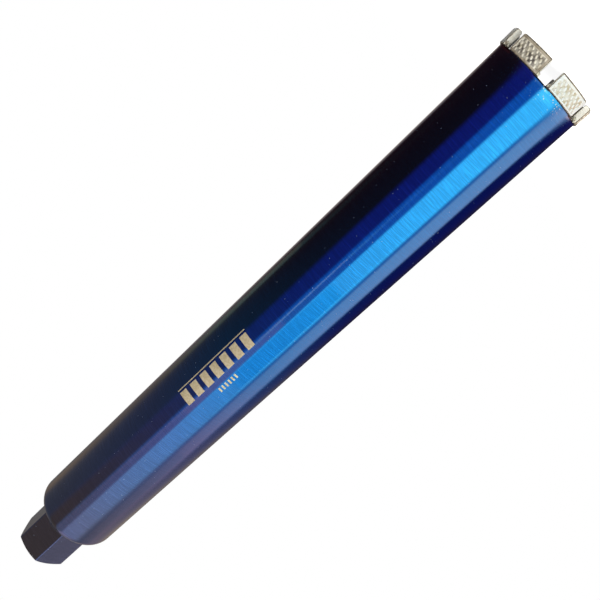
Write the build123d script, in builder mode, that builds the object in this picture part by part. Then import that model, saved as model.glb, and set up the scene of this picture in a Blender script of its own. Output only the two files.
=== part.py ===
from build123d import *
import os
from math import cos, degrees, radians, sqrt, tan

# Diamond core bit: a steel tube with six brazed segments and a welded hexagonal hub.
# The bit stands on its crown. The origin is on the axis at the tips of the segments,
# and +Z runs up the axis to the hub. Millimetres.

# Overall sizes
crown_diameter = 68.0            # the size of hole that the crown cuts
overall_length = 528.0           # segment tips to the hub's end face

# Tube
tube_wall = 2.0

# Segments
segment_count = 6
segment_length = 24.0            # along the middle of the segment's thickness
segment_thickness = 4.2
segment_height = 11.6
segment_overhang = 1.2           # how far the outer face stands out past the tube
segment_tip_chamfer = 0.9
segment_end_bevel = 0.4
field_border = 1.1               # plain border round the sunk field on the outer face
field_depth = 0.3

# Brazing alloy
braze_film = 0.15                # film between the tube's rim and a segment
braze_fillet = 0.65              # fillets up the tube's wall
braze_run_out = 0.6              # film that shows past each end of a segment
braze_clearance = 0.12           # between the inner fillet and the tube's wall

# Hub
spindle_thread_minor = 28.0      # 1 1/4"-7 UNC, drilled for tapping
hex_across_flats = 41.0
hub_clocking = 15.9              # degrees from +X to the hexagon's first corner
shoulder_radius = 8.0
shoulder_angle = 45.0            # degrees between the shoulder's cone and the axis
neck_radius = 6.0
neck_undercut = 0.5              # how far the neck lies inside the flats
hub_height = 52.0                # weld line to end face
nut_chamfer_angle = 30.0
nut_chamfer_inset = 0.2          # the end face's radius is this much under the flats
spigot_length = 14.0
spigot_clearance = 0.05          # radial, inside the tube
spigot_lead_chamfer = 1.0
mouth_chamfer = 2.4              # countersink of the threaded mouth

# Derived sizes
crown_radius = crown_diameter / 2
tube_radius = crown_radius - segment_overhang
bore_radius = tube_radius - tube_wall
segment_mean_radius = crown_radius - segment_thickness / 2
segment_angle = degrees(segment_length / segment_mean_radius)
segment_pitch = 360.0 / segment_count
rim_height = segment_height + braze_film
weld_height = overall_length - hub_height
thread_radius = spindle_thread_minor / 2
flat_radius = hex_across_flats / 2
corner_radius = hex_across_flats / sqrt(3)
neck_end_radius = flat_radius - neck_undercut

os.makedirs("parts", exist_ok=True)


def save(piece, name):
    """Label a finished piece and write its STEP file."""
    piece.label = name
    export_step(piece, f"parts/{name}.step")


def meridian(azimuth):
    """Give the plane through the axis at an azimuth, with x outwards and y up."""
    outwards = Vector(1, 0, 0).rotate(Axis.Z, azimuth)
    sideways = Vector(0, 1, 0).rotate(Axis.Z, azimuth)
    return Plane((0, 0, 0), x_dir=outwards, z_dir=-sideways)


# Barrel: a plain tube from the crown's rim to the weld line.
with BuildPart() as barrel:
    with BuildSketch(Plane.XY.offset(rim_height)):
        Circle(tube_radius)
        Circle(bore_radius, mode=Mode.SUBTRACT)
    extrude(amount=weld_height - rim_height)
save(barrel.part, "barrel")


# Hub: one turned and milled forging. The section is drawn from the weld line outwards,
# over the shoulder and neck to the end face, and back down the bore to the spigot.
spigot_radius = bore_radius - spigot_clearance
spigot_bottom = weld_height - spigot_length

with BuildPart() as hub:
    with BuildSketch(Plane.XZ) as hub_section:
        with BuildLine():
            shoulder = JernArc((tube_radius, weld_height), (0, 1), shoulder_radius, shoulder_angle)
            neck_start_radius = neck_end_radius + neck_radius * (1 - cos(radians(shoulder_angle)))
            cone_rise = ((shoulder @ 1).X - neck_start_radius) / tan(radians(shoulder_angle))
            cone = Line(shoulder @ 1, (neck_start_radius, (shoulder @ 1).Y + cone_rise))
            neck = JernArc(cone @ 1, cone % 1, neck_radius, -shoulder_angle)
            Polyline(
                neck @ 1,
                (neck_end_radius, overall_length),
                (thread_radius, overall_length),
                (thread_radius, spigot_bottom),
                (spigot_radius - spigot_lead_chamfer, spigot_bottom),
                (spigot_radius, spigot_bottom + spigot_lead_chamfer),
                (spigot_radius, weld_height),
                shoulder @ 0,
            )
        make_face()
    revolve(axis=Axis.Z)

    # Spanner flats: a hexagon that grows out of the neck, with the bore kept open.
    hexagon_bottom = (cone @ 0).Y
    with BuildSketch(Plane.XY.offset(hexagon_bottom)):
        RegularPolygon(corner_radius, 6, rotation=hub_clocking)
        Circle(thread_radius, mode=Mode.SUBTRACT)
    extrude(amount=overall_length - hexagon_bottom)

    # Chamfer across the hexagon's end, as on a nut.
    end_face_radius = flat_radius - nut_chamfer_inset
    chamfer_reach = 2 * (corner_radius - end_face_radius)
    with BuildSketch(Plane.XZ):
        with BuildLine():
            Polyline(
                (end_face_radius, overall_length),
                (end_face_radius + chamfer_reach, overall_length),
                (
                    end_face_radius + chamfer_reach,
                    overall_length - chamfer_reach * tan(radians(nut_chamfer_angle)),
                ),
                close=True,
            )
        make_face()
    revolve(axis=Axis.Z, mode=Mode.SUBTRACT)

    # Countersunk mouth of the spindle thread.
    with BuildSketch(Plane.XZ):
        with BuildLine():
            Polyline(
                (0, overall_length),
                (thread_radius + mouth_chamfer, overall_length),
                (thread_radius, overall_length - mouth_chamfer),
                (0, overall_length - mouth_chamfer),
                close=True,
            )
        make_face()
    revolve(axis=Axis.Z, mode=Mode.SUBTRACT)
save(hub.part, "hub")


# Segment: an arc of sintered metal with bevelled tips and ends. Its outer face is sunk
# inside a plain border, as the press leaves it.
field_height = segment_height - segment_tip_chamfer - 2 * field_border
field_bottom = segment_tip_chamfer + field_border
field_angle = segment_angle - degrees(2 * (segment_end_bevel + field_border) / crown_radius)

with BuildPart() as segment:
    with BuildSketch(meridian(-segment_angle / 2)):
        with Locations((segment_mean_radius, segment_height / 2)):
            Rectangle(segment_thickness, segment_height)
    revolve(axis=Axis.Z, revolution_arc=segment_angle)
    chamfer(segment.faces().sort_by(Axis.Z)[0].edges(), segment_tip_chamfer)
    chamfer(segment.edges().filter_by(Axis.Z), segment_end_bevel)

    with BuildSketch(meridian(-field_angle / 2)):
        with Locations((crown_radius, field_bottom + field_height / 2)):
            Rectangle(2 * field_depth, field_height)
    revolve(axis=Axis.Z, revolution_arc=field_angle, mode=Mode.SUBTRACT)


# Braze seam: the film between the rim and a segment, filleted up both walls of the tube.
film_angle = segment_angle + degrees(2 * braze_run_out / tube_radius)

with BuildPart() as braze_seam:
    with BuildSketch(meridian(-film_angle / 2)):
        with BuildLine():
            Polyline(
                (bore_radius - braze_fillet, segment_height),
                (tube_radius + braze_fillet, segment_height),
                (tube_radius, rim_height + braze_fillet),
                (tube_radius, rim_height),
                (bore_radius - braze_clearance, rim_height),
                (bore_radius - braze_clearance, rim_height + braze_fillet),
                close=True,
            )
        make_face()
    revolve(axis=Axis.Z, revolution_arc=film_angle)

for index in range(segment_count):
    clocking = index * segment_pitch
    save(segment.part.rotate(Axis.Z, clocking), f"segment_{index + 1}")
    save(braze_seam.part.rotate(Axis.Z, clocking), f"braze_seam_{index + 1}")
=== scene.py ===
import math
import random

import bmesh
import bpy
from mathutils import Matrix, Vector, noise


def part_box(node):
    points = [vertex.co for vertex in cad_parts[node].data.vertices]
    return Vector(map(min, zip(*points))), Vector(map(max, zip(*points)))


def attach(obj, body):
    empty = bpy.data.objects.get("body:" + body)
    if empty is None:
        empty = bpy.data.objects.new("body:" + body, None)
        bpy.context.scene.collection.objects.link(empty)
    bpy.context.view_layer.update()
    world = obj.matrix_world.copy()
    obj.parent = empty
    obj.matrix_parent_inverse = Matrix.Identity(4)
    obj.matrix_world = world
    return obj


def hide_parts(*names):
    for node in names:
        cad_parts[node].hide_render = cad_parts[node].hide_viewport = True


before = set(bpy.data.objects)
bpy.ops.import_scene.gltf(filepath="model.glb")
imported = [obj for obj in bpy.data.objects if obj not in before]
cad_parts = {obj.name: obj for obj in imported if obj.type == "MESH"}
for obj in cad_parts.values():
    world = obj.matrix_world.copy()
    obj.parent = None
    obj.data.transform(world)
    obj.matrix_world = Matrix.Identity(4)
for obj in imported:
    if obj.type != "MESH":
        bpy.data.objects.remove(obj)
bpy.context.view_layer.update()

# ------------------------------------------------------------------ sizes
# Lengths are in millimetres and angles in degrees, and polar() turns both into Blender's metres.
# The materials, the lamps and the floor are in metres.
METRE = 1000


def node_size(node):
    """Give a CAD node's lowest and highest corners in millimetres."""
    low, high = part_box(node)
    return low * METRE, high * METRE


barrel_low, barrel_high = node_size("barrel")
hub_low, hub_high = node_size("hub")
segment_high = node_size("segment_1")[1]

TUBE_RADIUS = barrel_high.y
TUBE_WALL = 2.0
BORE_RADIUS = TUBE_RADIUS - TUBE_WALL
RIM_HEIGHT = barrel_low.z
WELD_HEIGHT = barrel_high.z
OVERALL_LENGTH = hub_high.z

SEGMENT_COUNT = 6
SEGMENT_PITCH = 360 / SEGMENT_COUNT
SEGMENT_HEIGHT = segment_high.z
CROWN_RADIUS = segment_high.x
SEGMENT_THICKNESS = 4.2
SEGMENT_LENGTH = 24.0
SEGMENT_MEAN_RADIUS = CROWN_RADIUS - SEGMENT_THICKNESS / 2
SEGMENT_HALF_ANGLE = math.degrees(SEGMENT_LENGTH / 2 / SEGMENT_MEAN_RADIUS)
TIP_CHAMFER = 0.9
END_ROUNDING = 0.45

# The sunk field on a segment's outer face, and the slanted pads that fill it.
FIELD_BORDER = 1.1
FIELD_HALF_LENGTH = SEGMENT_LENGTH / 2 - END_ROUNDING - FIELD_BORDER
FIELD_SLOPE = 0.35               # width of the slope down into the field
GROOVE_DEPTH = 0.42
FIELD_BOTTOM = TIP_CHAMFER + FIELD_BORDER
FIELD_TOP = SEGMENT_HEIGHT - FIELD_BORDER
PAD_ROWS = 4
PAD_PITCH = 3.3
PAD_HALF_LENGTH = 1.2
PAD_HALF_WIDTH = 0.62
PAD_SLANT = 22.0
PAD_VARIETY = 0.35
PAD_STEEPNESS = 1.5              # above 1 the pads have flat tops

HEX_FLAT_RADIUS = 20.5
HEX_PITCH = 60.0
HUB_CLOCKING = 15.9
SPIGOT_BOTTOM = hub_low.z
SPIGOT_CLEARANCE = 0.05
SPIGOT_RADIUS = BORE_RADIUS - SPIGOT_CLEARANCE
SPIGOT_CHAMFER = 1.0
SHOULDER_RADIUS = 8.0
NECK_RADIUS = 6.0
NECK_INSET = 0.5                 # of the turned neck under the hexagon's flats
NECK_END_RADIUS = HEX_FLAT_RADIUS - NECK_INSET
CONE_ANGLE = 45.0
NUT_CHAMFER_ANGLE = 30.0
END_FACE_INSET = 0.2
END_FACE_RADIUS = HEX_FLAT_RADIUS - END_FACE_INSET

THREAD_MINOR_RADIUS = 14.0
THREAD_DEPTH = 1.87
THREAD_PITCH = 25.4 / 7
MOUTH_CHAMFER = 2.4
MOUTH_RADIUS = THREAD_MINOR_RADIUS + MOUTH_CHAMFER

CAMERA_PLACE = Vector((413.04, 246.22, 53.11))
CAMERA_AZIMUTH = math.degrees(math.atan2(CAMERA_PLACE.y, CAMERA_PLACE.x))

random.seed(7)


# ------------------------------------------------------------------ mesh tools
ROUNDING_STEPS = 4


def polar(radius, azimuth, height):
    """Give the point at a radius, azimuth and height, in metres."""
    turn = math.radians(azimuth)
    return Vector((radius * math.cos(turn), radius * math.sin(turn), height)) / METRE


def grid_faces(rows, columns, rows_close=False, columns_close=False, first=0):
    """Give the quads that join a grid of vertices, row by row."""
    faces = []
    for row in range(rows if rows_close else rows - 1):
        for column in range(columns if columns_close else columns - 1):
            next_row = (row + 1) % rows
            next_column = (column + 1) % columns
            corners = ((row, column), (row, next_column), (next_row, next_column), (next_row, column))
            faces.append([first + r * columns + c for r, c in corners])
    return faces


def add_piece(name, vertices, faces, materials, sharp_angle=35):
    """Make a smooth-shaded mesh object whose edges over an angle stay sharp."""
    mesh = bpy.data.meshes.new(name)
    mesh.from_pydata(vertices, [], faces)
    shape = bmesh.new()
    shape.from_mesh(mesh)
    bmesh.ops.recalc_face_normals(shape, faces=shape.faces)
    shape.to_mesh(mesh)
    shape.free()
    for material in materials:
        mesh.materials.append(material)
    mesh.shade_smooth()
    mesh.set_sharp_from_angle(angle=math.radians(sharp_angle))
    piece = bpy.data.objects.new(name, mesh)
    bpy.context.scene.collection.objects.link(piece)
    return piece


def steps(start, end, count):
    """Give count + 1 evenly spaced values from start to end."""
    return [start + (end - start) * i / count for i in range(count + 1)]


def arc(centre, radius, start, end, count):
    """Give points along a circle's arc in a profile's plane, angles in degrees."""
    return [
        (centre[0] + radius * math.cos(math.radians(a)), centre[1] + radius * math.sin(math.radians(a)))
        for a in steps(start, end, count)
    ]


def soft_max(a, b, blend):
    """Give the larger of two values, rounded where they cross."""
    mix = max(blend - abs(a - b), 0) / blend
    return max(a, b) + mix * mix * blend / 4


def soft_min(a, b, blend):
    """Give the smaller of two values, rounded where they cross."""
    return -soft_max(-a, -b, blend)


# ------------------------------------------------------------------ material tools
class Finish:
    """A material whose nodes are built step by step around one Principled shader."""

    def __init__(self, name, metallic, roughness):
        self.material = bpy.data.materials.new(name)
        self.material.use_nodes = True
        self.tree = self.material.node_tree
        self.shader = self.tree.nodes["Principled BSDF"]
        self.shader.inputs["Metallic"].default_value = metallic
        self.shader.inputs["Roughness"].default_value = roughness

    def add(self, kind, inputs=None, **settings):
        """Add a node. An input is a value, or the socket that it comes from."""
        node = self.tree.nodes.new("ShaderNode" + kind)
        for setting, value in settings.items():
            setattr(node, setting, value)
        for socket, value in (inputs or {}).items():
            if isinstance(value, bpy.types.NodeSocket):
                self.tree.links.new(value, node.inputs[socket])
            else:
                node.inputs[socket].default_value = value
        return node

    def set(self, socket, value):
        """Give the shader a value, or the socket that it comes from."""
        if isinstance(value, bpy.types.NodeSocket):
            self.tree.links.new(value, self.shader.inputs[socket])
        else:
            self.shader.inputs[socket].default_value = value

    def point(self):
        """Give the point's own coordinates, in metres."""
        return self.add("TexCoord").outputs["Object"]

    def place(self, point):
        """Give a point's azimuth in radians and its height in metres."""
        parts = self.add("SeparateXYZ", {0: point}).outputs
        azimuth = self.math("ARCTAN2", parts["Y"], parts["X"])
        return azimuth, parts["Z"]

    def math(self, operation, a, b=0.0):
        return self.add("Math", {0: a, 1: b}, operation=operation).outputs[0]

    def noise(self, vector, scale, detail=2.0, roughness=0.5):
        inputs = {"Vector": vector, "Scale": scale, "Detail": detail, "Roughness": roughness}
        return self.add("TexNoise", inputs).outputs["Fac"]

    def range(self, value, low, high, to_low=0.0, to_high=1.0):
        """Turn values from low to high into values from to_low to to_high, and hold the rest there."""
        inputs = {"Value": value, "From Min": low, "From Max": high}
        inputs |= {"To Min": to_low, "To Max": to_high}
        return self.add("MapRange", inputs).outputs["Result"]

    def mix(self, factor, a, b, blend_type="MIX"):
        """Mix two colours. The mix node's sockets 6 and 7, and its output 2, are its colours."""
        inputs = {0: factor, 6: a, 7: b}
        return self.add("Mix", inputs, data_type="RGBA", blend_type=blend_type).outputs[2]

    def ramp(self, factor, stops):
        """Give the colour that a factor has between stops of (place, colour)."""
        node = self.add("ValToRGB", {"Fac": factor})
        elements = node.color_ramp.elements
        while len(elements) < len(stops):
            elements.new(0.5)
        for element, (place, colour) in zip(elements, stops):
            element.position = place
            element.color = (*colour, 1)
        return node.outputs["Color"]

    def bump(self, height, distance):
        """Give the normal of a relief, its distance in metres."""
        inputs = {"Height": height, "Distance": distance, "Strength": 1.0}
        return self.add("Bump", inputs).outputs["Normal"]


# ------------------------------------------------------------------ materials
# Colours are linear. Lengths in the materials are in metres, as the shaders see them.
BRUSH_LENGTH = 0.014             # of the marks round the tube
BRUSH_WIDTH = 0.0004
BRUSH_DEPTH = 0.00001
SMOOTH_REFLECTION_SIDE = math.radians(CAMERA_AZIMUTH - 40)   # where the brushing is faded: painted smooth reflection of the coat
SMOOTH_REFLECTION_START = 0.965             # cosines of the angle from that side
SMOOTH_REFLECTION_FULL = 0.988
SMOOTH_REFLECTION_SHARE = 0.3               # of the brushing's contrast

# The lacquer's tint, by height as a share of the whole length. Its darkening and greying towards the
# hub is a painted hazy reflection.
LACQUER_TINTS_AND_PAINTED_HAZE = [
    (0.0, (0.03, 0.22, 0.55)),
    (0.5, (0.02, 0.2, 0.55)),
    (0.65, (0.07, 0.15, 0.4)),
    (0.86, (0.1, 0.13, 0.25)),
]
PALED_START = 0.026              # the brazing's heat paled the lacquer below this height
PALED_FULL = 0.014
PALED_UNEVEN = 0.012
PALED_SHARE = 0.5
PALED_TINT = (0.12, 0.4, 0.7, 1)
GAP_START = -0.2                 # cosines: 1 in the middle of a segment and -1 in the middle of a gap
GAP_FULL = -0.5
RIM_HIGHLIGHT_TOP = (RIM_HEIGHT + 2.0) / METRE      # in the gaps the rim has a lighter tint up to this height, a painted highlight
RIM_HIGHLIGHT_TINT = (0.15, 0.36, 0.62, 1)
BLACK_RIM_TOP = (RIM_HEIGHT + 0.8) / METRE     # and black up to this one
BLACK_RIM_TINT = (0.006, 0.005, 0.01, 1)
RIM_BLUR = 0.0004

SPECK_PITCH = 0.004
SPECK_SIZE = 0.05                # as a share of the pitch
SPECK_COLOUR = (0.25, 0.3, 0.4, 1)
SPATTER_PITCH = 0.0013
SPATTER_SIZE = 0.27
SPATTER_COLOUR = (0.75, 0.62, 0.45, 1)
SPATTER_REACH = 0.024            # height above the floor
SPATTER_FULL = 0.012
SPATTER_SIDE = math.radians(CAMERA_AZIMUTH - 17)
SPATTER_START = 0.92             # cosines of the angle from that side
SPATTER_MIDDLE = 0.96


def brush_marks(finish, point):
    """Give fine marks that run round the tube, as turning and emery leave them."""
    stretch = (1 / BRUSH_LENGTH, 1 / BRUSH_LENGTH, 1 / BRUSH_WIDTH)
    vector = finish.add("VectorMath", {0: point, 1: stretch}, operation="MULTIPLY").outputs["Vector"]
    return finish.noise(vector, 1.0, detail=3.0, roughness=0.6)


def specks(finish, point, pitch, size):
    """Give sparse grains, such as dust caught in the lacquer."""
    inputs = {"Vector": point, "Scale": 1 / pitch}
    distance = finish.add("TexVoronoi", inputs).outputs["Distance"]
    return finish.range(distance, size, 0.8 * size)


def spatter(finish, point, azimuth, height):
    """Give the fine brazing spatter above one joint, which thins out upwards."""
    facing = finish.math("COSINE", finish.math("SUBTRACT", azimuth, SPATTER_SIDE))
    beside = finish.range(facing, SPATTER_START, SPATTER_MIDDLE)
    near = finish.math("MULTIPLY", beside, finish.range(height, SPATTER_REACH, SPATTER_FULL))
    patchy = finish.range(finish.noise(point, 400.0), 0.45, 0.55)
    grains = specks(finish, point, SPATTER_PITCH, SPATTER_SIZE)
    return finish.math("MULTIPLY", grains, finish.math("MULTIPLY", near, patchy))


def rim_tints_and_painted_highlight(finish, point, azimuth, height, tint):
    """Pale the lacquer near the brazed rim, and in the gaps give the rim a lighter tint, a painted
    highlight, and blacken its lowest edge.
    """
    uneven = finish.math("MULTIPLY", finish.noise(point, 150.0, detail=3.0), PALED_UNEVEN)
    paled = finish.range(finish.math("ADD", height, uneven), PALED_START, PALED_FULL)
    tint = finish.mix(finish.math("MULTIPLY", paled, PALED_SHARE), tint, PALED_TINT)
    gap = finish.math("COSINE", finish.math("MULTIPLY", azimuth, SEGMENT_COUNT))
    in_gap = finish.range(gap, GAP_START, GAP_FULL)
    # a lighter tint on the rim in the gaps: painted highlight
    rim_highlight = finish.math("MULTIPLY", in_gap, finish.range(height, RIM_HIGHLIGHT_TOP + RIM_BLUR, RIM_HIGHLIGHT_TOP))
    black_rim = finish.math("MULTIPLY", in_gap, finish.range(height, BLACK_RIM_TOP + RIM_BLUR / 2, BLACK_RIM_TOP))
    tint = finish.mix(rim_highlight, tint, RIM_HIGHLIGHT_TINT)
    return finish.mix(black_rim, tint, BLACK_RIM_TINT)


def lacquer(name):
    """Clear blue lacquer over brushed steel. Its tint darkens and greys towards the hub, a painted hazy
    reflection.
    """
    finish = Finish(name, metallic=1.0, roughness=0.2)
    point = finish.point()
    azimuth, height = finish.place(point)
    # the ramp darkens and greys the tint towards the hub: painted hazy reflection
    tint = finish.ramp(finish.range(height, 0.0, OVERALL_LENGTH / METRE), LACQUER_TINTS_AND_PAINTED_HAZE)
    tint = rim_tints_and_painted_highlight(finish, point, azimuth, height, tint)
    marks = finish.range(brush_marks(finish, point), 0.45, 0.75, 0.95, 1.5)
    grey = finish.add("CombineXYZ", {0: marks, 1: marks, 2: marks}).outputs[0]
    # the brushing's contrast is cut on one side: a painted smooth reflection of the coat
    facing = finish.math("COSINE", finish.math("SUBTRACT", azimuth, SMOOTH_REFLECTION_SIDE))
    brushing_share = finish.range(facing, SMOOTH_REFLECTION_START, SMOOTH_REFLECTION_FULL, 1.0, SMOOTH_REFLECTION_SHARE)
    brushed = finish.mix(brushing_share, tint, grey, "MULTIPLY")
    dust = specks(finish, point, SPECK_PITCH, SPECK_SIZE)
    dusty = finish.mix(dust, brushed, SPECK_COLOUR)
    splashes = spatter(finish, point, azimuth, height)
    finish.set("Base Color", finish.mix(splashes, dusty, SPATTER_COLOUR))
    finish.set("Metallic", finish.math("SUBTRACT", 1.0, finish.math("MAXIMUM", dust, splashes)))
    finish.set("Anisotropic", 1.0)
    finish.set("Anisotropic Rotation", 0.25)
    finish.set("Tangent", finish.add("Tangent", direction_type="RADIAL", axis="Z").outputs[0])
    finish.set("Coat Weight", 0.4)
    finish.set("Coat Roughness", 0.05)
    return finish.material


def bare_steel(name):
    """Drawn steel inside the tube, greyed and lightly stained."""
    finish = Finish(name, metallic=1.0, roughness=0.4)
    point = finish.point()
    stain = finish.noise(point, 60.0, detail=4.0)
    tints = [(0.35, (0.36, 0.35, 0.33)), (0.65, (0.2, 0.18, 0.16))]
    finish.set("Base Color", finish.ramp(stain, tints))
    finish.set("Roughness", finish.range(stain, 0.3, 0.7, 0.32, 0.5))
    finish.set("Normal", finish.bump(brush_marks(finish, point), BRUSH_DEPTH))
    return finish.material


def threaded_steel(name):
    """Machined steel of the thread and end face."""
    finish = Finish(name, metallic=1.0, roughness=0.3)
    point = finish.point()
    grain = finish.noise(point, 900.0, detail=3.0)
    tints = [(0.3, (0.3, 0.3, 0.32)), (0.7, (0.45, 0.45, 0.46))]
    finish.set("Base Color", finish.ramp(grain, tints))
    finish.set("Roughness", finish.range(grain, 0.3, 0.7, 0.25, 0.4))
    finish.set("Normal", finish.bump(grain, 0.00002))
    return finish.material


GRAIN_COLOUR = (0.4, 0.33, 0.23, 1)        # of the pits between the grains
GROOVE_FLOOR = (CROWN_RADIUS - GROOVE_DEPTH) / METRE
GROOVE_SHADE_RAMP = [(0.0, (0, 0, 0)), (0.12, (1, 1, 1)), (0.8, (0, 0, 0))]     # painted shade of the grooves, floor to top


def sintered_metal(name, dull_colour, clean_colour, groove_shade_colour):
    """Pressed and sintered bronze with diamond grains, its grooves darkened with painted shade."""
    finish = Finish(name, metallic=0.08, roughness=0.45)
    point = finish.point()
    grain = finish.noise(point, 1800.0, detail=4.0, roughness=0.7)
    patches = finish.noise(point, 220.0, detail=3.0)
    cream = finish.ramp(patches, [(0.35, dull_colour), (0.6, clean_colour)])
    flat = finish.add("VectorMath", {0: point, 1: (1, 1, 0)}, operation="MULTIPLY").outputs["Vector"]
    reach = finish.add("VectorMath", {0: flat}, operation="LENGTH").outputs["Value"]
    depth = finish.range(reach, GROOVE_FLOOR - 0.00008, GROOVE_FLOOR + 0.0003)
    groove_shade = finish.ramp(depth, GROOVE_SHADE_RAMP)
    blotches = finish.range(finish.noise(point, 350.0), 0.4, 0.65, 0.4, 1.0)
    # the grooves are darkened by depth: painted shade
    colour = finish.mix(finish.math("MULTIPLY", groove_shade, blotches), cream, (*groove_shade_colour, 1))
    finish.set("Base Color", finish.mix(finish.range(grain, 0.3, 0.42), GRAIN_COLOUR, colour))
    finish.set("Roughness", finish.range(grain, 0.3, 0.7, 0.35, 0.55))
    finish.set("Specular IOR Level", 0.25)
    finish.set("Normal", finish.bump(grain, 0.00004))
    return finish.material


def dark_edge_finish(name):
    """A dark, grainy colour along the segment's edges and the roundings of its ends."""
    finish = Finish(name, metallic=0.2, roughness=0.6)
    point = finish.point()
    grain = finish.noise(point, 700.0, detail=4.0, roughness=0.6)
    tints = [(0.35, (0.05, 0.04, 0.035)), (0.65, (0.42, 0.34, 0.22))]
    finish.set("Base Color", finish.ramp(grain, tints))
    finish.set("Normal", finish.bump(grain, 0.00005))
    return finish.material


def flux_crust_and_painted_shadow(name):
    """Brazing alloy under a crust of burnt flux, where it fills the joint; its near-black colour is
    also painted contact shadow under the segment's overhang.
    """
    finish = Finish(name, metallic=0.6, roughness=0.55)
    point = finish.point()
    crust = finish.noise(point, 900.0, detail=4.0)
    # near black: burnt flux, and painted contact shadow under the overhang
    tints = [(0.4, (0.012, 0.01, 0.02)), (0.75, (0.16, 0.13, 0.11))]
    finish.set("Base Color", finish.ramp(crust, tints))
    finish.set("Normal", finish.bump(crust, 0.00005))
    return finish.material


def silver_alloy(name):
    """Brazing alloy that froze in smooth beads, with darker flux marks."""
    finish = Finish(name, metallic=0.4, roughness=0.3)
    point = finish.point()
    flux = finish.noise(point, 500.0, detail=3.0)
    tints = [(0.35, (0.3, 0.24, 0.16)), (0.55, (0.8, 0.75, 0.6))]
    finish.set("Base Color", finish.ramp(flux, tints))
    finish.set("Roughness", finish.range(flux, 0.3, 0.7, 0.45, 0.2))
    finish.set("Normal", finish.bump(flux, 0.00005))
    return finish.material


def printed_ink(name):
    """Silk-screened ink in a tan silver, slightly patchy."""
    finish = Finish(name, metallic=0.3, roughness=0.4)
    point = finish.point()
    cover = finish.noise(point, 700.0, detail=3.0)
    tints = [(0.3, (0.37, 0.3, 0.17)), (0.65, (0.5, 0.43, 0.28))]
    finish.set("Base Color", finish.ramp(cover, tints))
    finish.set("Normal", finish.bump(cover, 0.00001))
    return finish.material


lacquered_tube = lacquer("lacquered_tube")
lacquered_hub = lacquer("lacquered_hub")
bore_steel = bare_steel("bore_steel")
thread_steel = threaded_steel("thread_steel")
# A lit and a shaded copy of the segments' sintered metal: the shaded one, darker with near-black
# grooves and borders, is painted shade.
lit_sinter = sintered_metal(
    "sintered_metal",
    dull_colour=(0.66, 0.65, 0.59),
    clean_colour=(0.68, 0.7, 0.67),
    groove_shade_colour=(0.42, 0.34, 0.22),
)
shaded_sinter = sintered_metal(
    "shaded_sintered_metal",
    dull_colour=(0.6, 0.54, 0.4),
    clean_colour=(0.88, 0.83, 0.69),
    groove_shade_colour=(0.06, 0.048, 0.04),
)
shaded_border = sintered_metal(
    "shaded_border",
    dull_colour=(0.28, 0.23, 0.16),
    clean_colour=(0.46, 0.4, 0.3),
    groove_shade_colour=(0.2, 0.16, 0.11),
)
ground_sinter = sintered_metal(
    "ground_sintered_metal",
    dull_colour=(0.86, 0.83, 0.7),
    clean_colour=(0.9, 0.88, 0.78),
    groove_shade_colour=(0.66, 0.58, 0.42),
)
dark_edges = dark_edge_finish("dark_edge_finish")
braze_flux_and_painted_shadow = flux_crust_and_painted_shadow("braze_flux_and_painted_shadow")
braze = silver_alloy("silver_braze")
ink = printed_ink("printed_ink")


# ------------------------------------------------------------------ tube
TUBE_COLUMNS = 256
OUTSIDE_ROWS = 40
INSIDE_ROWS = 10
RIM_ROUNDING = 0.5
RIM_BAND = 2                     # height of the first band of faces above the rim
INSIDE_SLOT = 1                  # of the bare steel inside the tube and the hub


def build_tube():
    """The tube, with its rim's two edges broken and its bore left bare."""
    outer_centre = (TUBE_RADIUS - RIM_ROUNDING, RIM_HEIGHT + RIM_ROUNDING)
    inner_centre = (BORE_RADIUS + RIM_ROUNDING, RIM_HEIGHT + RIM_ROUNDING)
    outer_corner = arc(outer_centre, RIM_ROUNDING, -90, 0, ROUNDING_STEPS)
    inner_corner = arc(inner_centre, RIM_ROUNDING, 180, 270, ROUNDING_STEPS)
    outer_wall = [(TUBE_RADIUS, h) for h in steps(RIM_HEIGHT + RIM_BAND, WELD_HEIGHT, OUTSIDE_ROWS)]
    inner_wall = [(BORE_RADIUS, h) for h in steps(WELD_HEIGHT, RIM_HEIGHT + RIM_BAND, INSIDE_ROWS)]
    profile = outer_corner + outer_wall + inner_wall + inner_corner
    vertices = [
        polar(radius, 360 * column / TUBE_COLUMNS, height)
        for radius, height in profile
        for column in range(TUBE_COLUMNS)
    ]
    faces = grid_faces(len(profile), TUBE_COLUMNS, rows_close=True, columns_close=True)
    tube = add_piece("tube", vertices, faces, [lacquered_tube, bore_steel])
    for face in tube.data.polygons:
        if math.hypot(face.center.x, face.center.y) * METRE < BORE_RADIUS + RIM_ROUNDING:
            face.material_index = INSIDE_SLOT
    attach(tube, "root")
    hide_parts("barrel")


# ------------------------------------------------------------------ hub
HUB_COLUMNS = 360
SHOULDER_ROWS = 12
NECK_ROWS = 60
FLAT_ROWS = 10
NUT_END_ROWS = 24
THREAD_ROWS_PER_TURN = 12
TURNED_BAND = 2                  # height over the weld below which no hexagon is cut
NUT_END = 4                      # length of the hexagon's end that holds its chamfer
EDGE_BREAK = 0.5                 # rounding where the hexagon meets the turned shoulder
CORNER_SHARPNESS = 70            # higher leaves less of the hexagon's corners rounded
THREAD_ROOT = 0.06               # half of the root's width, as a share of the pitch
THREAD_FLANK = 0.32              # a flank's width, as a share of the pitch

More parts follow.
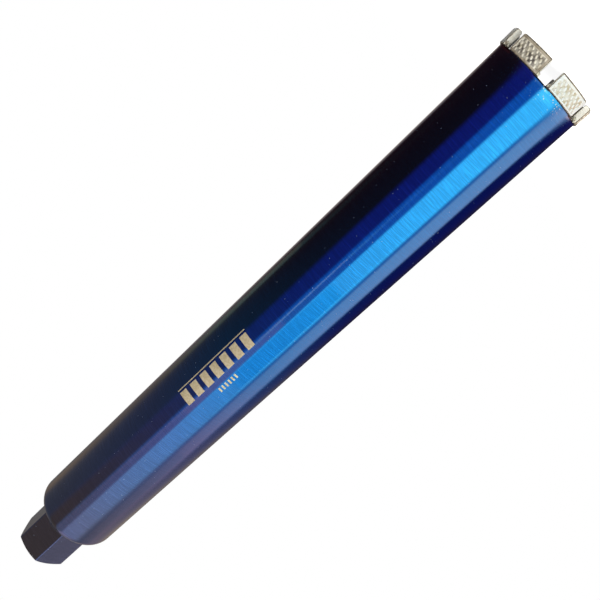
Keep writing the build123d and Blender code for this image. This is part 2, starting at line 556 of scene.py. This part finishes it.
shoulder_bend = math.radians(CONE_ANGLE)
SHOULDER_END_RADIUS = TUBE_RADIUS - SHOULDER_RADIUS * (1 - math.cos(shoulder_bend))
SHOULDER_END_HEIGHT = WELD_HEIGHT + SHOULDER_RADIUS * math.sin(shoulder_bend)
NECK_START_RADIUS = NECK_END_RADIUS + NECK_RADIUS * (1 - math.cos(shoulder_bend))
CONE_HEIGHT = (SHOULDER_END_RADIUS - NECK_START_RADIUS) / math.tan(shoulder_bend)
NECK_START_HEIGHT = SHOULDER_END_HEIGHT + CONE_HEIGHT
NECK_END_HEIGHT = NECK_START_HEIGHT + NECK_RADIUS * math.sin(shoulder_bend)


def turned_radius(height):
    """Give the hub's radius where it is turned: shoulder, cone and neck."""
    if height <= SHOULDER_END_HEIGHT:
        rise = height - WELD_HEIGHT
        return TUBE_RADIUS - SHOULDER_RADIUS + math.sqrt(SHOULDER_RADIUS**2 - rise**2)
    if height <= NECK_START_HEIGHT:
        return SHOULDER_END_RADIUS - (height - SHOULDER_END_HEIGHT) * math.tan(shoulder_bend)
    if height <= NECK_END_HEIGHT:
        rise = NECK_END_HEIGHT - height
        return NECK_END_RADIUS + NECK_RADIUS - math.sqrt(NECK_RADIUS**2 - rise**2)
    return NECK_END_RADIUS


def hexagon_radius(azimuth):
    """Give the radius of the hexagon, its corners slightly worn."""
    from_flat = (azimuth - HUB_CLOCKING) % HEX_PITCH - HEX_PITCH / 2
    reach = [math.cos(math.radians(from_flat + side)) for side in (-HEX_PITCH, 0, HEX_PITCH)]
    total = sum(max(value, 0) ** CORNER_SHARPNESS for value in reach)
    return HEX_FLAT_RADIUS / total ** (1 / CORNER_SHARPNESS)


def hub_radius(azimuth, height):
    """Give the outside of the hub: turned below, hexagonal above, chamfered at its end."""
    radius = turned_radius(height)
    if height > WELD_HEIGHT + TURNED_BAND:
        radius = soft_max(radius, hexagon_radius(azimuth), EDGE_BREAK)
    nut_cone = END_FACE_RADIUS + (OVERALL_LENGTH - height) / math.tan(math.radians(NUT_CHAMFER_ANGLE))
    return soft_min(radius, nut_cone, EDGE_BREAK)


def thread_radius(azimuth, height):
    """Give the wall of the socket: a right-hand thread that runs out at its countersunk mouth."""
    phase = (height / THREAD_PITCH - azimuth / 360) % 1
    flank = min(max((abs(phase - 0.5) - THREAD_ROOT) / THREAD_FLANK, 0), 1)
    wall = THREAD_MINOR_RADIUS + THREAD_DEPTH * (1 - flank)
    mouth = MOUTH_RADIUS - (OVERALL_LENGTH - height)
    return max(wall, mouth)


def build_hub():
    """The hub: spigot, turned shoulder, hexagon and threaded socket, in one closed mesh."""
    outer_heights = (
        steps(WELD_HEIGHT, SHOULDER_END_HEIGHT, SHOULDER_ROWS)
        + steps(SHOULDER_END_HEIGHT, NECK_END_HEIGHT, NECK_ROWS)[1:]
        + steps(NECK_END_HEIGHT, OVERALL_LENGTH - NUT_END, FLAT_ROWS)[1:]
        + steps(OVERALL_LENGTH - NUT_END, OVERALL_LENGTH, NUT_END_ROWS)[1:]
    )
    azimuths = [HUB_CLOCKING + 360 * column / HUB_COLUMNS for column in range(HUB_COLUMNS)]
    rings = [
        [(radius, azimuth, height) for azimuth in azimuths]
        for radius, height in (
            (THREAD_MINOR_RADIUS + THREAD_DEPTH, SPIGOT_BOTTOM),
            (SPIGOT_RADIUS - SPIGOT_CHAMFER, SPIGOT_BOTTOM),
            (SPIGOT_RADIUS, SPIGOT_BOTTOM + SPIGOT_CHAMFER),
            (SPIGOT_RADIUS, WELD_HEIGHT),
        )
    ]
    for height in outer_heights:
        rings.append([(hub_radius(azimuth, height), azimuth, height) for azimuth in azimuths])
    rings.append([(MOUTH_RADIUS, azimuth, OVERALL_LENGTH) for azimuth in azimuths])
    turns = (OVERALL_LENGTH - SPIGOT_BOTTOM) / THREAD_PITCH
    thread_heights = steps(OVERALL_LENGTH, SPIGOT_BOTTOM, round(turns * THREAD_ROWS_PER_TURN))[1:]
    outside = len(rings)
    vertices = [polar(*corner) for ring in rings for corner in ring]
    faces = grid_faces(outside, HUB_COLUMNS, columns_close=True)
    for height in thread_heights[:-1]:
        vertices += [polar(thread_radius(a, height), a, height) for a in azimuths]
    first = (outside - 1) * HUB_COLUMNS
    faces += grid_faces(len(thread_heights), HUB_COLUMNS, columns_close=True, first=first)
    last = first + (len(thread_heights) - 1) * HUB_COLUMNS
    faces += [
        (last + c, last + (c + 1) % HUB_COLUMNS, (c + 1) % HUB_COLUMNS, c)
        for c in range(HUB_COLUMNS)
    ]
    hub = add_piece("hub_forging", vertices, faces, [lacquered_hub, thread_steel])
    for face in hub.data.polygons:
        if math.hypot(face.center.x, face.center.y) * METRE < MOUTH_RADIUS:
            face.material_index = INSIDE_SLOT
    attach(hub, "root")
    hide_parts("hub")


# ------------------------------------------------------------------ segments
FINE_STEP = 0.2
GRAIN_SIZE = 0.35
GRAIN_HEIGHT = 0.04
EDGE_BEVEL = 0.3
WORN_EDGE = 0.3
END_STEPS = 4
END_FACE_SHRINKS = (1.0, 1.6)    # of the rings on a flat end face
SINTER_SLOT, DARK_EDGE_SLOT, END_SLOT, BORDER_SLOT = range(4)

# Strides through the noise, so that no two pads or segments are alike.
PAD_STRIDE = 1.7
ROW_STRIDE = 2.3
RELIEF_STRIDE = 11.3
GRAIN_STRIDE = 31.0


def pad_relief(along, height, seed):
    """Give how far a point of the sunk field is filled by the nearest slanted pad, from 0 to 1."""
    row_pitch = (FIELD_TOP - FIELD_BOTTOM) / PAD_ROWS
    slant = math.radians(PAD_SLANT)
    best = 0
    row_here = int((height - FIELD_BOTTOM) / row_pitch)
    for row in (row_here - 1, row_here, row_here + 1):
        if 0 <= row < PAD_ROWS:
            shift = PAD_PITCH / 2 if row % 2 else 0
            column = round((along - shift) / PAD_PITCH)
            offset = along - shift - column * PAD_PITCH
            rise = height - (FIELD_BOTTOM + (row + 0.5) * row_pitch)
            size = 1 + PAD_VARIETY * noise.noise(Vector((column * PAD_STRIDE, row * ROW_STRIDE, seed)))
            length = (-rise * math.cos(slant) + offset * math.sin(slant)) / size
            width = (rise * math.sin(slant) + offset * math.cos(slant)) / size
            left = 1 - (length / PAD_HALF_LENGTH) ** 2 - (width / PAD_HALF_WIDTH) ** 2
            best = max(best, min(1, PAD_STEEPNESS * math.sqrt(max(left, 0))))
    return best


def face_relief(along, height, seed):
    """Give the depth of the outer face below the crown's size: a sunk field filled with pads."""
    inside = min(FIELD_HALF_LENGTH - abs(along), height - FIELD_BOTTOM, FIELD_TOP - height)
    sunk = min(max(inside / FIELD_SLOPE, 0), 1)
    return GROOVE_DEPTH * sunk * (1 - pad_relief(along, height, seed))


def segment_section():
    """Give the segment's section as (radius, height, on an edge), all the way round."""
    inner_radius = CROWN_RADIUS - SEGMENT_THICKNESS
    # Each corner's radius and height, the steps from it to the next one, and if they are an edge.
    corners = [
        (CROWN_RADIUS, TIP_CHAMFER, 52, False),
        (CROWN_RADIUS, SEGMENT_HEIGHT - EDGE_BEVEL, 2, True),
        (CROWN_RADIUS - EDGE_BEVEL, SEGMENT_HEIGHT, 6, False),
        (inner_radius + EDGE_BEVEL, SEGMENT_HEIGHT, 2, True),
        (inner_radius, SEGMENT_HEIGHT - EDGE_BEVEL, 12, False),
        (inner_radius, TIP_CHAMFER, 4, True),
        (inner_radius + TIP_CHAMFER, 0, 5, False),
        (CROWN_RADIUS - TIP_CHAMFER, 0, 5, True),
    ]
    section = []
    for corner, next_corner in zip(corners, corners[1:] + corners[:1]):
        radius, height, count, edge = corner
        radii = steps(radius, next_corner[0], count)[:-1]
        heights = steps(height, next_corner[1], count)[:-1]
        section += [(r, h, edge) for r, h in zip(radii, heights)]
    return section


def segment_stations():
    """Give where the section is placed along the segment, and how far it shrinks there."""
    straight = SEGMENT_LENGTH / 2 - END_ROUNDING
    middle = [(along, 0) for along in steps(-straight, straight, round(2 * straight / FINE_STEP))]
    end = [
        (straight + END_ROUNDING * math.sin(angle), END_ROUNDING * (1 - math.cos(angle)))
        for angle in steps(0, math.pi / 2, END_STEPS)[1:]
    ]
    end += [(SEGMENT_LENGTH / 2, shrink) for shrink in END_FACE_SHRINKS]
    return [(-along, shrink) for along, shrink in reversed(end)] + middle + end


def segment_point(index, along, shrink, radius, height):
    """Give one corner of a segment's mesh, with its pads and its worn, grainy skin."""
    middle_height = SEGMENT_HEIGHT / 2
    out = (radius - SEGMENT_MEAN_RADIUS) * (1 - shrink / (SEGMENT_THICKNESS / 2))
    up = (height - middle_height) * (1 - shrink / middle_height)
    on_face = radius == CROWN_RADIUS and shrink == 0
    relief = face_relief(along, height, index * RELIEF_STRIDE) if on_face else 0
    spot = Vector((along, radius, height)) / GRAIN_SIZE + Vector((index * GRAIN_STRIDE, 0, 0))
    wear = GRAIN_HEIGHT * (0.5 + 0.5 * noise.fractal(spot, 1.0, 2.0, 3))
    wear = min(max(wear, 0), 2 * GRAIN_HEIGHT) * math.copysign(1, out)
    azimuth = index * SEGMENT_PITCH + math.degrees(along / SEGMENT_MEAN_RADIUS)
    return polar(SEGMENT_MEAN_RADIUS + out - relief - wear, azimuth, middle_height + up)


def build_segment(index):
    """A segment: its section swept round the axis, with worn ends and the pads on its outer face.

    Every second one is darker, in painted shade, as the left one is in the photograph.
    """
    section = segment_section()
    stations = segment_stations()
    vertices = [
        segment_point(index, along, shrink, radius, height)
        for along, shrink in stations
        for radius, height, _ in section
    ]
    faces = grid_faces(len(stations), len(section), columns_close=True)
    last = (len(stations) - 1) * len(section)
    faces.append(tuple(range(len(section))))
    faces.append(tuple(range(last, last + len(section))))
    # every second segment gets the shaded copy: painted shade
    sinter, border = (shaded_sinter, shaded_border) if index % 2 else (lit_sinter, lit_sinter)
    materials = [sinter, dark_edges, ground_sinter, border]
    segment = add_piece(f"crown_segment_{index + 1}", vertices, faces, materials, sharp_angle=60)
    for face in segment.data.polygons:
        row, column = divmod(face.index, len(section))
        if row >= len(stations) - 1:
            face.material_index = END_SLOT
            continue
        along = stations[row][0]
        shrink = (stations[row][1] + stations[row + 1][1]) / 2
        _, height, on_edge = section[column]
        if shrink >= WORN_EDGE:
            face.material_index = END_SLOT
        elif on_edge or shrink > 0:
            face.material_index = DARK_EDGE_SLOT
        elif abs(along) > FIELD_HALF_LENGTH or not FIELD_BOTTOM < height < FIELD_TOP:
            face.material_index = BORDER_SLOT
        else:
            face.material_index = SINTER_SLOT
    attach(segment, "root")
    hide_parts(f"segment_{index + 1}")


# ------------------------------------------------------------------ brazing
BRAZE_FILLET = 0.65
BRAZE_RUN_OUT = 1.0
BRAZE_STATIONS = 120
BRAZE_TAPER = 1.2                # degrees over which a fillet gets smaller towards its ends
BRAZE_END_SHARE = 0.15           # of the fillet's size that is left at its ends
FILLET_FOOT = 0.1                # height over the rim at which a fillet starts
FILLET_START = 0.4               # radians round the fillet's curve, from the tube's wall
FILLET_STEPS = 3
FILLET_SWELL = 0.9               # steps through the noise per degree
FILLET_STRIDE = 9.7              # through the noise, from seam to seam
INNER_STRIDE = 50                # and from a seam's outer side to its inner one
FILM_INSET = 0.1                 # the film stops this far from both walls
FILM_LIFT = 0.05                 # and stands this far above the rim
BEADS_PER_END = 8
BEAD_SIZES = (0.4, 0.95)
BEAD_TURNS = (-0.1, 1.4)         # degrees past the segment's end
BEAD_DROPS = (0.1, 1.9)          # below the rim
BEAD_STRETCHES = (0.8, 1.5)
BEAD_INSIDE = 0.4                # how far the beads' centres pass the tube's bore
BEAD_OUTSIDE = 0.9               # and how far the beads pass its outside
BEAD_SLOT = 1


def fillet_size(turn, taper, seed):
    """Give the fillet's size at an azimuth on one side of the wall."""
    swell = noise.noise(Vector((turn * FILLET_SWELL, seed, 0)))
    return BRAZE_FILLET * taper * (0.55 + 0.45 * swell)


def build_braze(index):
    """A braze seam: an uneven film with fillets, and beads where the alloy ran out at the ends."""
    clocking = index * SEGMENT_PITCH
    half_angle = SEGMENT_HALF_ANGLE + math.degrees(BRAZE_RUN_OUT / TUBE_RADIUS)
    fillet_angles = steps(FILLET_START, math.pi / 2, FILLET_STEPS)
    foot = RIM_HEIGHT + FILLET_FOOT
    vertices = []
    for turn in steps(-half_angle, half_angle, BRAZE_STATIONS):
        taper = min(1, (half_angle - abs(turn)) / BRAZE_TAPER + BRAZE_END_SHARE)
        outer = fillet_size(turn, taper, index * FILLET_STRIDE)
        inner = fillet_size(turn, taper, index * FILLET_STRIDE + INNER_STRIDE)
        loop = [(BORE_RADIUS - inner, SEGMENT_HEIGHT), (TUBE_RADIUS + outer, SEGMENT_HEIGHT)]
        loop += [
            (TUBE_RADIUS + outer * (1 - math.sin(a)), foot + outer * (1 - math.cos(a)))
            for a in fillet_angles
        ]
        loop += [
            (TUBE_RADIUS - FILM_INSET, RIM_HEIGHT + FILM_LIFT),
            (BORE_RADIUS + FILM_INSET, RIM_HEIGHT + FILM_LIFT),
        ]
        loop += [
            (BORE_RADIUS - inner * (1 - math.sin(a)), foot + inner * (1 - math.cos(a)))
            for a in reversed(fillet_angles)
        ]
        vertices += [polar(radius, clocking + turn, height) for radius, height in loop]
    sections = BRAZE_STATIONS + 1
    columns = len(vertices) // sections
    faces = grid_faces(sections, columns, columns_close=True)
    last = (sections - 1) * columns
    faces += [tuple(range(columns)), tuple(range(last, last + columns))]
    seam = add_piece(f"braze_bead_{index + 1}", vertices, faces, [braze_flux_and_painted_shadow, braze], sharp_angle=80)
    add_beads(seam, clocking)
    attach(seam, "root")
    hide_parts(f"braze_seam_{index + 1}")


def add_beads(seam, clocking):
    """Add frozen drops that climb the foot of the segment's two ends."""
    shape = bmesh.new()
    shape.from_mesh(seam.data)
    for side in (-1, 1):
        for _ in range(BEADS_PER_END):
            size = random.uniform(*BEAD_SIZES)
            radius = random.uniform(BORE_RADIUS - BEAD_INSIDE, TUBE_RADIUS + BEAD_OUTSIDE - size)
            turn = side * (SEGMENT_HALF_ANGLE + random.uniform(*BEAD_TURNS))
            height = RIM_HEIGHT - random.uniform(*BEAD_DROPS)
            place = Matrix.Translation(polar(radius, clocking + turn, height))
            place @= Matrix.Diagonal((1, 1, random.uniform(*BEAD_STRETCHES), 1))
            drop = bmesh.ops.create_icosphere(shape, subdivisions=3, radius=size / METRE, matrix=place)
            for vertex in drop["verts"]:
                for face in vertex.link_faces:
                    face.material_index = BEAD_SLOT
                    face.smooth = True
    shape.to_mesh(seam.data)
    shape.free()


# ------------------------------------------------------------------ print
# A plain scale where the tube is printed. Azimuths are in degrees from the camera.
INK_HEIGHT = 0.03
BAR_COUNT = 7
BAR_PITCH = 10.4
BAR_WIDTH = 6.4
BARS_START = 249.0
BARS_END = BARS_START + (BAR_COUNT - 1) * BAR_PITCH + BAR_WIDTH
BAR_AZIMUTHS = (2, 21)
LINE_AZIMUTHS = (23.9, 25.2)
LINE_OVERRUN = 0.5
TICK_COUNT = 6
TICK_PITCH = 3.2
TICK_WIDTH = 1.4
TICKS_START = 275.0
TICK_AZIMUTHS = (-13, -7)


def build_print(name, azimuths, low, high):
    """A plain field of ink on the tube, between two azimuths and two heights."""
    start, end = (CAMERA_AZIMUTH + azimuth for azimuth in azimuths)
    columns = max(2, round(end - start))
    vertices = [
        polar(TUBE_RADIUS + INK_HEIGHT, azimuth, height)
        for azimuth in steps(start, end, columns)
        for height in (low, high)
    ]
    field = add_piece(name, vertices, grid_faces(columns + 1, 2), [ink])
    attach(field, "root")


build_tube()
build_hub()
for index in range(SEGMENT_COUNT):
    build_segment(index)
    build_braze(index)
build_print("print_line", LINE_AZIMUTHS, BARS_START - LINE_OVERRUN, BARS_END + LINE_OVERRUN)
for bar in range(BAR_COUNT):
    low = BARS_START + bar * BAR_PITCH
    build_print(f"print_bar_{bar + 1}", BAR_AZIMUTHS, low, low + BAR_WIDTH)
for tick in range(TICK_COUNT):
    low = TICKS_START + tick * TICK_PITCH
    build_print(f"print_tick_{tick + 1}", TICK_AZIMUTHS, low, low + TICK_WIDTH)


# ------------------------------------------------------------------ camera
# Solved from the outline of the bit in the photograph. CAMERA_PLACE is with the sizes.
IMAGE_SIZE = 600                 # pixels, both ways
FOCAL_PIXELS = 726.9
PRINCIPAL_POINT = (313.05, 334.65)         # pixels from the top left corner
CAMERA_RIGHT = Vector((0.158407, -0.696934, -0.699422))
CAMERA_UP = Vector((-0.597393, 0.496352, -0.629886))


def add_camera():
    """Put the camera where the photograph was taken from."""
    data = bpy.data.cameras.new("camera")
    data.sensor_width = 36
    data.lens = FOCAL_PIXELS * data.sensor_width / IMAGE_SIZE
    data.shift_x = 0.5 - PRINCIPAL_POINT[0] / IMAGE_SIZE
    data.shift_y = PRINCIPAL_POINT[1] / IMAGE_SIZE - 0.5
    data.clip_start = 0.01
    camera = bpy.data.objects.new("camera", data)
    backward = CAMERA_RIGHT.cross(CAMERA_UP)
    turn = Matrix((CAMERA_RIGHT, CAMERA_UP, backward)).transposed()
    camera.matrix_world = Matrix.Translation(CAMERA_PLACE / METRE) @ turn.to_4x4()
    bpy.context.scene.collection.objects.link(camera)
    bpy.context.scene.camera = camera


# ------------------------------------------------------------------ studio
TENT_RADIUS = 1200
TENT_HEIGHT = 1700
TENT_COLUMNS = 96
TENT_GAP = 38                    # from the axis to the tent's cloth on the floor
TENT_LIFT = 1                    # of that cloth over the floor
TENT_EYE = 1                     # radius of the hole in the tent's top
FOOT_LEVEL = 600                 # below this the cards have the colour of their foot
TOP_LEVEL = 1500                 # and above this, that of their top

# Upright cards and flags on the tent's wall: degrees from the camera, from and to, with one colour
# for the foot and one for the top. The cloth between two of them goes from one colour to the other.
# The blue lacquer multiplies these colours, so a card that is to look grey in it is reddish.
CARDS = {
    "far_side": (-180, -165, (0.05, 0.05, 0.07), (0.05, 0.05, 0.05)),
    "right_edge": (-158, -147, (0.03, 0.02, 0.06), (0.5, 0.4, 0.3)),
    "right_flag": (-125, -101, (0.03, 0.02, 0.12), (0.5, 0.4, 0.4)),
    "pale_card": (-95, -67, (2.0, 1.0, 0.9), (0.3, 0.3, 0.3)),
    "gap": (-62, -59, (0.3, 0.4, 0.6), (0.7, 0.5, 0.5)),
    "bright_card": (-54, -14, (0.8, 1.9, 1.7), (0.9, 0.7, 0.8)),
    "blue_cloth": (-9, 9, (0.06, 0.25, 0.6), (0.4, 0.4, 0.4)),
    "navy_flag": (14, 40, (0.08, 0.03, 0.2), (0.3, 0.2, 0.1)),
    "black_flag": (50, 108, (0.07, 0.01, 0.01), (0.2, 0.2, 0.2)),
    "brown_card": (120, 140, (0.04, 0.01, 0.01), (0.4, 0.3, 0.2)),
    "left_edge": (149, 157, (0.3, 0.2, 0.15), (0.2, 0.2, 0.2)),
    "rim_light": (168, 180, (0.7, 0.6, 0.5), (0.03, 0.03, 0.04)),
}

# Smaller cards that hang inside the tent: azimuths from and to, heights from and to, and colour.
HANGING_CARDS = {
    "blue_gel": (-52, -14, 500, 850, (0.05, 0.5, 0.8)),
    "cloth_fold": (-11, 0, 380, 650, (0.03, 0.16, 0.5)),
    "grey_card": (-10, 7, 650, 1000, (1.6, 0.6, 0.6)),
    "seam_card": (2, 5, 440, 700, (2.4, 1.2, 1.0)),
    "dim_card": (-96, -66, 1100, 1450, (0.4, 0.4, 0.4)),
    "brown_strip": (118, 138, 500, 1000, (0.3, 0.2, 0.1)),
}
HANGING_RADIUS = 1150


def glow_only(finish, colour):
    """Turn a finish into plain light of a colour."""
    finish.tree.nodes.remove(finish.shader)
    glow = finish.add("Emission", {"Color": colour})
    finish.tree.links.new(glow.outputs[0], finish.tree.nodes["Material Output"].inputs["Surface"])


def tent_light():
    """Light that changes round the tent from card to card, and with height."""
    finish = Finish("tent", metallic=0.0, roughness=1.0)
    azimuth, height = finish.place(finish.point())
    turn = finish.range(azimuth, -math.pi, math.pi)
    foot_stops, top_stops = [], []
    for start, end, foot_colour, top_colour in CARDS.values():
        for edge in (start, end):
            foot_stops.append(((edge + 180) / 360, foot_colour))
            top_stops.append(((edge + 180) / 360, top_colour))
    foot = finish.ramp(turn, foot_stops)
    top = finish.ramp(turn, top_stops)
    colour = finish.mix(finish.range(height, FOOT_LEVEL / METRE, TOP_LEVEL / METRE), foot, top)
    glow_only(finish, colour)
    return finish.material


def add_light_card(name, vertices, faces, material):
    """Add a surface that only reflections see, turned towards the camera's azimuth."""
    card = add_piece(name, vertices, faces, [material])
    card.rotation_euler.z = math.radians(CAMERA_AZIMUTH)
    card.visible_camera = False
    card.visible_diffuse = False
    card.visible_shadow = False
    card.visible_transmission = False


def add_tent():
    """A light tent round the bit, open at its foot, and the small cards in it."""
    outline = [
        (TENT_GAP, TENT_LIFT),
        (TENT_RADIUS, TENT_LIFT),
        (TENT_RADIUS, TENT_HEIGHT),
        (TENT_EYE, TENT_HEIGHT),
    ]
    vertices = [
        polar(radius, 360 * column / TENT_COLUMNS, height)
        for radius, height in outline
        for column in range(TENT_COLUMNS)
    ]
    faces = grid_faces(len(outline), TENT_COLUMNS, columns_close=True)
    add_light_card("light_tent", vertices, faces, tent_light())
    for name, (start, end, low, high, colour) in HANGING_CARDS.items():
        vertices = [
            polar(HANGING_RADIUS, azimuth, height)
            for azimuth in steps(start, end, end - start)
            for height in (low, high)
        ]
        finish = Finish(name, metallic=0.0, roughness=1.0)
        glow_only(finish, (*colour, 1))
        add_light_card(name, vertices, grid_faces(end - start + 1, 2), finish.material)


WORLD_GLOW = 0.1                 # for rays that are neither the camera's nor reflected


def add_world():
    """White for the camera and for reflections, and a softer white for everything else."""
    world = bpy.data.worlds.new("studio")
    bpy.context.scene.world = world
    world.use_nodes = True
    tree = world.node_tree
    background = tree.nodes["Background"]
    background.inputs["Color"].default_value = (1, 1, 1, 1)
    seen = white_rays(tree)
    strength = tree.nodes.new("ShaderNodeMapRange")
    strength.inputs["To Min"].default_value = WORLD_GLOW
    tree.links.new(seen, strength.inputs["Value"])
    tree.links.new(strength.outputs["Result"], background.inputs["Strength"])


def white_rays(tree):
    """Give 1 for camera, glossy and transmission rays, and 0 for the others."""
    path = tree.nodes.new("ShaderNodeLightPath")
    total = path.outputs["Is Camera Ray"]
    for kind in ("Is Glossy Ray", "Is Transmission Ray"):
        either = tree.nodes.new("ShaderNodeMath")
        either.operation = "MAXIMUM"
        tree.links.new(total, either.inputs[0])
        tree.links.new(path.outputs[kind], either.inputs[1])
        total = either.outputs[0]
    return total


FLOOR_GLOW = 0.92                # lifts the floor to white for the camera
FLOOR_GREY = 0.8
FLOOR_SIZE = 8                   # metres


def add_floor():
    """A plain pale floor that looks white and keeps the bit's shadow."""
    material = bpy.data.materials.new("floor")
    material.use_nodes = True
    tree = material.node_tree
    shader = tree.nodes["Principled BSDF"]
    shader.inputs["Base Color"].default_value = (FLOOR_GREY, FLOOR_GREY, FLOOR_GREY, 1)
    shader.inputs["Roughness"].default_value = 1.0
    shader.inputs["Specular IOR Level"].default_value = 0.0
    shader.inputs["Emission Color"].default_value = (1, 1, 1, 1)
    strength = tree.nodes.new("ShaderNodeMath")
    strength.operation = "MULTIPLY"
    strength.inputs[1].default_value = FLOOR_GLOW
    tree.links.new(white_rays(tree), strength.inputs[0])
    tree.links.new(strength.outputs[0], shader.inputs["Emission Strength"])
    bpy.ops.mesh.primitive_plane_add(size=FLOOR_SIZE)
    floor = bpy.context.object
    floor.name = "floor"
    floor.data.materials.append(material)


LAMP_AIM = 0.2                   # height in metres of the place that the lamps face
LAMP_SIZE = 0.6


def add_lamp(name, azimuth, height, distance, power):
    """A soft square lamp that faces the bit and isn't reflected in it. Lengths are in metres."""
    data = bpy.data.lights.new(name, "AREA")
    data.size = LAMP_SIZE
    data.energy = power
    lamp = bpy.data.objects.new(name, data)
    turn = math.radians(CAMERA_AZIMUTH + azimuth)
    lamp.location = (distance * math.cos(turn), distance * math.sin(turn), height)
    aim = Vector((0, 0, LAMP_AIM)) - lamp.location
    lamp.rotation_euler = aim.to_track_quat("-Z", "Y").to_euler()
    lamp.visible_glossy = False
    bpy.context.scene.collection.objects.link(lamp)


add_camera()
add_tent()
add_world()
add_floor()
add_lamp("key", azimuth=-36, height=0.9, distance=1.3, power=15)
add_lamp("fill", azimuth=-12, height=0.9, distance=1.5, power=18.5)
bpy.context.scene.view_settings.view_transform = "Standard"
